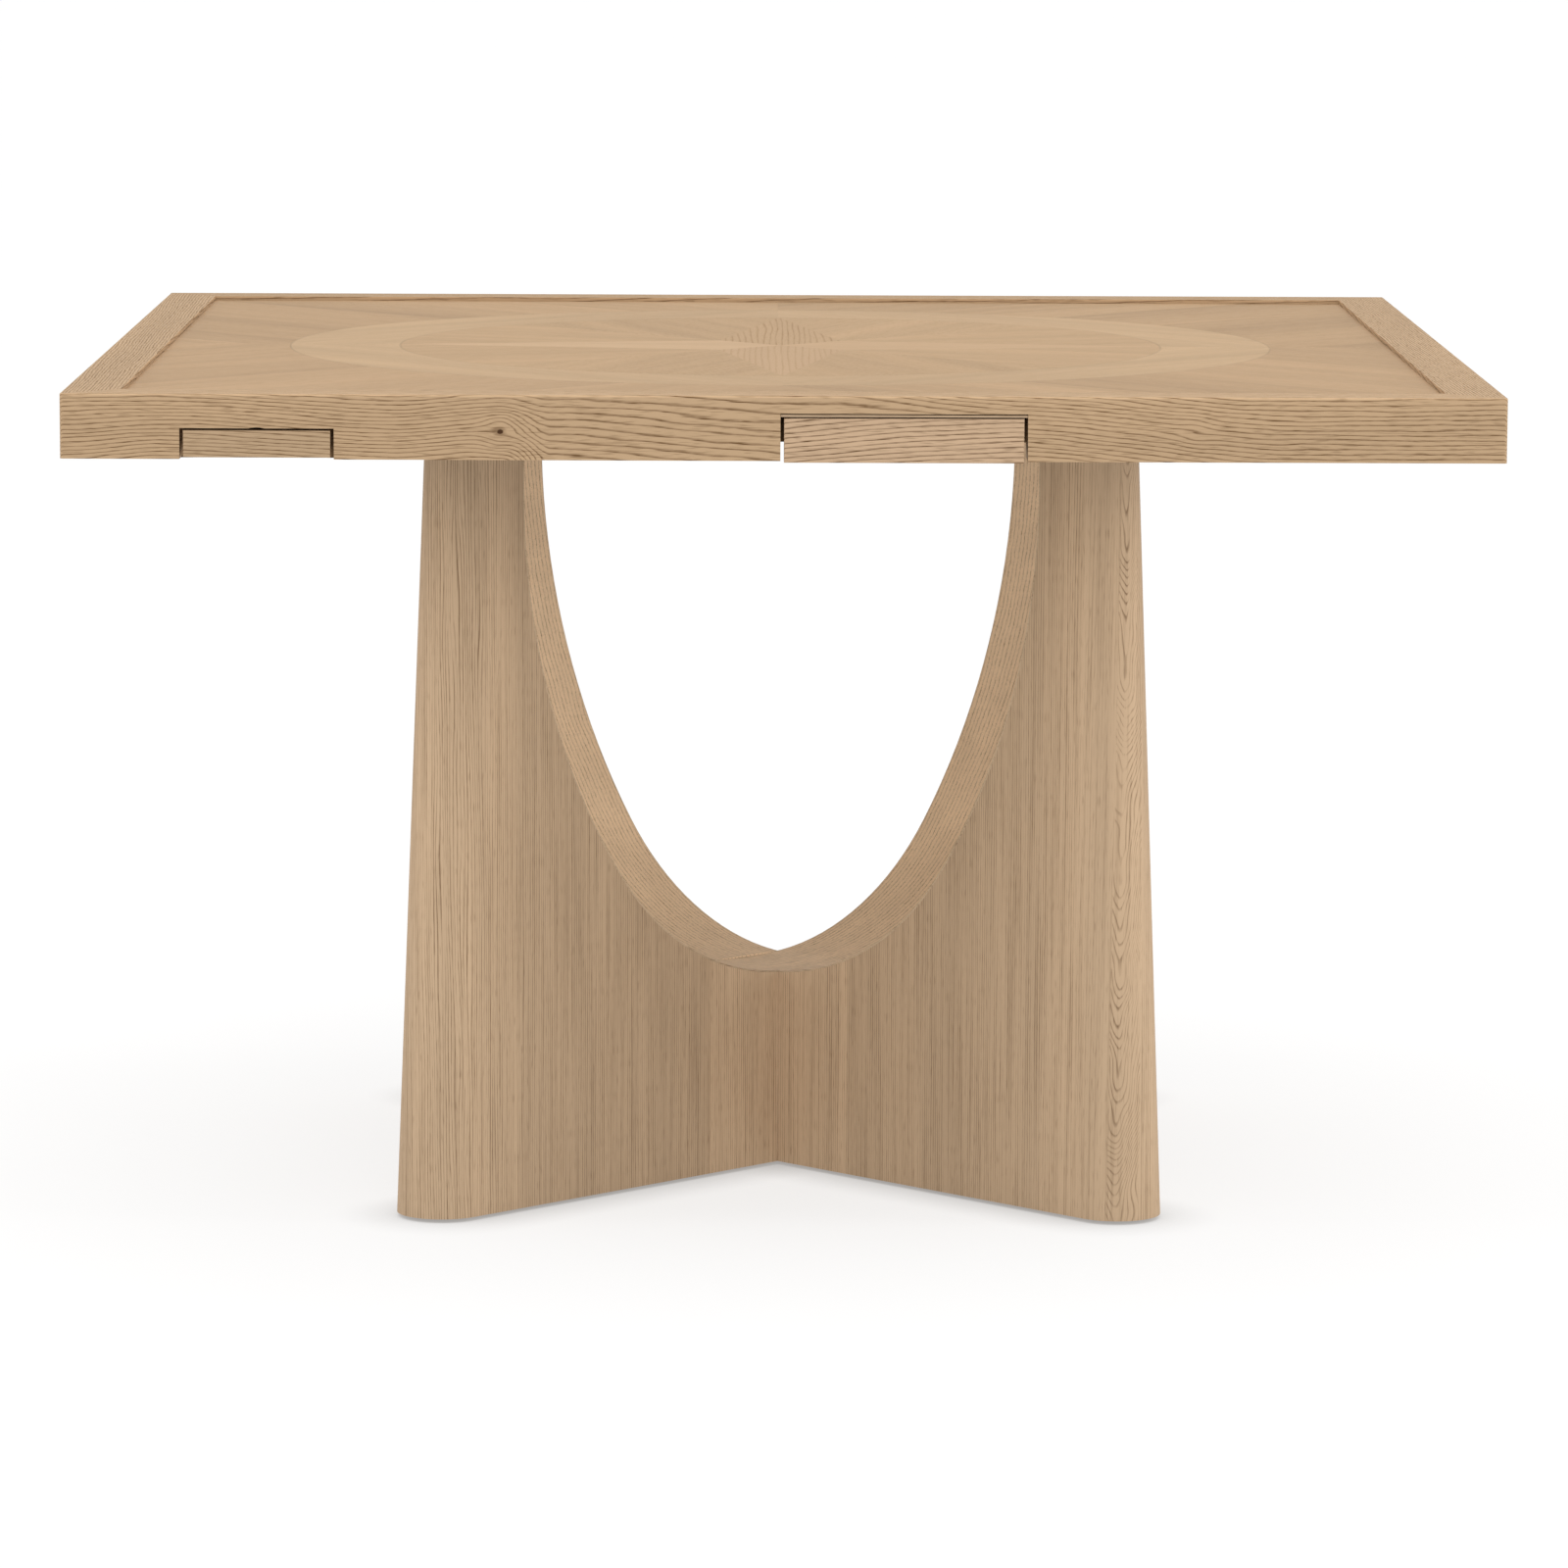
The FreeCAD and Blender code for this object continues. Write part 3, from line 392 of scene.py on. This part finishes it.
for index, side in enumerate(SIDES):
    in_front = side == "front"
    length, inward = side_axes(index)
    upright = (length, UP, inward)
    # Painted light: the edge level makes each rail's top paler, the front rail's most
    finish(timber(f"flat_sawn_oak_{side}_rail", upright, OAK_LIGHT, OAK_DARK, contrast=0.95, sway=4, breaks=0.3,
                  edge=(RAIL_TOP - 2, RAIL_TOP - 1, 1.3 if in_front else 1.2),
                  start=(900.0 * index, 0, 70.0 * index), slope=RAIL_SLOPES[index],
                  falls=FRONT_FALLS if in_front else (), knots=FRONT_KNOTS if in_front else ()),
           f"{side}_rail")

    # Oak fronts of the drawers and slides: the same oak, the drawer's with wider rings that climb and level out
    finish(timber(f"flat_sawn_oak_{side}_drawer_front", upright, "#C2A587", "#5A4129", ring=2.7, sway=3,
                  start=(400.0 * index, 13.0 * index, 55.0), slope=0.08 if in_front else 0.03,
                  bend=0.00016 if in_front else 0.0, contrast=0.95),
           f"{side}_drawer_face")
    finish(timber(f"flat_sawn_oak_{side}_slide_front", upright, "#B59A7B", OAK_DARK, ring=2.1, sway=4,
                  start=(700.0 * index, 29.0 * index, 95.0), slope=-0.03, contrast=0.95),
           f"{side}_slide_face")
    finish(timber(f"flat_sawn_oak_{side}_slide_tray", (length, inward, UP), "#B79E82", OAK_DARK, ring=3.0,
                  contrast=0.5, start=(0, 900.0 * index, 0)),
           f"{side}_slide_tray")

    finish(timber(f"planed_birch_{side}_drawer_sides", (inward, UP, length), start=(0, 300.0 * index, 0), **BIRCH),
           f"{side}_drawer_sides")
    finish(timber(f"planed_birch_{side}_drawer_back", upright, start=(0, 500.0 * index, 0), **BIRCH),
           f"{side}_drawer_back")
    finish(timber(f"birch_ply_{side}_drawer_bottom", (inward, length, UP), start=(0, 700.0 * index, 0), **BIRCH),
           f"{side}_drawer_bottom")

    finish(timber(f"sliced_oak_{side}_star_point", (inward, length, UP), STAR_LIGHT[side], "#A1815D", ring=5.6,
                  turn=0.2, sway=7, reach=300, contrast=0.7 if side == "back" else 0.35, tone=0.03,
                  start=(650.0 * index, 90.0 * index, 0)),
           f"{side}_star_point")

# Sliced oak veneer of the field: quiet grain, the leaves a shade apart, with a thin dark line round the ring
QUIET = dict(sway=8, reach=460, turn=0.2, contrast=0.85, pore=0.25, rough=0.52, relief=0.06)
finish(timber("sliced_oak_sectors", "leaf", "#C5A580", "#A07F5B", ring=4.5, tone=0.06, leaf_tone=0.025, **QUIET),
       *[f"{quarter}_sector" for quarter in QUARTERS])
finish(timber("sliced_oak_ring", "chord", "#CBAC87", "#AD8C67", ring=5.0, tone=0.07, fade=(60, -240, 0.95),
              joints=(RING_INNER, RING_OUTER), **QUIET),
       *[f"{quarter}_ring_segment" for quarter in QUARTERS])
finish(timber("sliced_oak_corner_fields", "diagonal", "#C2A27E", "#9A7955", ring=5.0, tone=0.06,
              plank=70.0, leaf_tone=0.07, **QUIET),
       *[f"{quarter}_corner_field" for quarter in QUARTERS])

# Oak slabs: staves a shade apart, with fine upright grain and long quiet streaks. The stave by the crossing is
# lighter, partly paler wood and partly painted light against the shade between the slabs; from near each rounded
# end on, round the end and along the far face, the slab is lighter again, painted light where the side light
# falls; and the slabs are painted darker towards the floor, painted shade. Round one end of each slab runs a strip
# of flames, and round the other the grain curls.
# The edging that lines each arch is bent oak, painted far paler than the slabs as painted light under the top,
# its broken pore lines following the curve and its edges darker, partly a dark joint and partly painted shade.
for name, sign in (("through", 1), ("crossing", -1)):
    offset = 0.0 if sign > 0 else 1700.0
    finish(timber(f"straight_oak_slab_{name}", f"slab_{name}", "#C9AD8E", "#664C31", ring=2.7, turn=0.0, sway=3,
                  reach=700, ripple=1.0, run=150, contrast=0.74, breaks=0.7, hold=200, dash=0.3, pore=0.28,
                  streak=0.26, tone=0.06, staves=((130, -0.13), (372, 0.075)), fade=(350, 60, 0.94),
                  crown=(448.0, 459.0, 478.0), start=(offset, 0, 0)),
           f"slab_{name}")
    finish(timber(f"bent_oak_edging_{name}", f"arch_{name}", "#EFD2AF", "#84674A", ring=4.8, turn=0.0, sway=4,
                  reach=500, contrast=0.8, breaks=0.6, dash=0.7, start=(offset, 0, 0),
                  edge=(SLAB_THICK / 2 - 0.9, SLAB_THICK / 2 - 0.2, 0.62)),
           f"arch_edging_{name}")

# Poplar inside the frame: plain and planed, and dark as the underside is: painted shade under the top
POPLAR = dict(light="#6A543C", dark="#533F2B", ring=5.0, sway=10, contrast=0.55, pore=0.15, rough=0.65)
finish(timber("planed_poplar_strips", "along_side", **POPLAR), "ledger_strips", "corner_blocks", "closing_stops")
finish(timber("planed_poplar_runners", "into_side", **POPLAR), "drawer_runners", "tray_runners")
for name, sign in (("lower", 1), ("upper", -1)):
    finish(timber(f"planed_poplar_bearer_{name}", (*slab_axes(sign), UP), **POPLAR), f"bearer_{name}")
# Oak strips over the drawers: the rails' oak, planed, with a plainer grain
finish(timber("flat_sawn_oak_kicker_strips", "along_side", "#B79E82", OAK_DARK, ring=3.0, contrast=0.5),
       "kicker_strips")

# Fibre core: dull brown with fine specks, coloured dark as painted shade under the top
finish(speckled("fibreboard_core_darkened_for_shade", "#5C4935", "#4B3A29", 1.2, 0.8), "core_panel")
# Zinc plated screws: cold grey, half bright
finish(speckled("zinc_plated_steel", "#B9BBBC", "#96999B", 0.8, 0.36, metallic=1.0, relief=0.02),
       "top_screws", "leg_bolts")
# Moulded nylon glides: off-white with a low sheen
finish(speckled("moulded_nylon", "#D8D3C7", "#C7C0B1", 1.0, 0.45), "floor_glides")

# White studio floor, a little luminous so that it stays pale under the table; its glow is cut close to the slabs,
# a painted contact shadow
FLOOR_SIZE, FLOOR_GREY = 120, (0.3, 0.3, 0.3, 1)
FLOOR_GLOW, CONTACT_GLOW, CONTACT_REACH = 0.74, 0.3, 60 * MM
bpy.ops.object.select_all(action="DESELECT")
bpy.ops.mesh.primitive_plane_add(size=FLOOR_SIZE, location=(0, 0, -0.5 * MM))
floor = bpy.context.object
floor.name = "studio_floor"
paper, tree, shader = new_material("white_studio_floor")
shader.inputs["Base Color"].default_value = FLOOR_GREY
shader.inputs["Roughness"].default_value = 0.9
shader.inputs["Specular IOR Level"].default_value = 0.0
shader.inputs["Emission Color"].default_value = (1, 1, 1, 1)
# Painted contact shadow: the floor glows less where the slabs are close
contact = add(tree, "AmbientOcclusion", None, CONTACT_REACH, out=1, samples=8)
glow = add(tree, "MapRange", contact, 0.0, 1.0, CONTACT_GLOW, FLOOR_GLOW)
tree.links.new(glow, shader.inputs["Emission Strength"])
floor.data.materials.append(paper)

# Soft studio light: an even white room and large soft boxes, in metres and watts
ROOM_LIGHT = 0.88
world = bpy.data.worlds.new("white_room")
bpy.context.scene.world = world
world.use_nodes = True
room = world.node_tree.nodes["Background"]
room.inputs["Color"].default_value = (1, 1, 1, 1)
room.inputs["Strength"].default_value = ROOM_LIGHT

AIM = Vector((0, 0, 0.5))
for name, place, size, power in (
    ("front_soft_box", (0.5, -6.5, 2.6), 2.0, 52),
    ("left_soft_box", (-5.0, -0.6, 1.3), 1.2, 30),
    ("right_soft_box", (5.0, -0.6, 1.3), 1.2, 56),
    ("overhead_soft_box", (0.0, -0.5, 4.5), 3.0, 16),
):
    bpy.ops.object.light_add(type="AREA", location=place)
    lamp = bpy.context.object
    lamp.name = name
    lamp.rotation_euler = (AIM - Vector(place)).to_track_quat("-Z", "Y").to_euler()
    lamp.data.size = size
    lamp.data.energy = power

# The photograph's camera: a long lens a little above the top, almost square on to the front
CAMERA_PLACE = (-37.54 * MM, -6754.76 * MM, 1275.34 * MM)
PITCH, YAW, ROLL = 0.1363, -0.0063, 0.0041
SENSOR = 36
FOCAL_PIXELS, PHOTO_PIXELS = 7469.57, 1600
bpy.ops.object.camera_add(location=CAMERA_PLACE)
camera = bpy.context.object
camera.name = "photo_camera"
camera.rotation_mode = "XYZ"
turned = (Matrix.Rotation(YAW, 4, "Z") @ Matrix.Rotation(math.pi / 2 - PITCH, 4, "X")
          @ Matrix.Rotation(ROLL, 4, "Z"))
camera.rotation_euler = turned.to_euler()
camera.data.sensor_width = SENSOR
camera.data.lens = SENSOR * FOCAL_PIXELS / PHOTO_PIXELS
camera.data.clip_end = 200
bpy.context.scene.camera = camera
bpy.context.scene.view_settings.view_transform = "Standard"
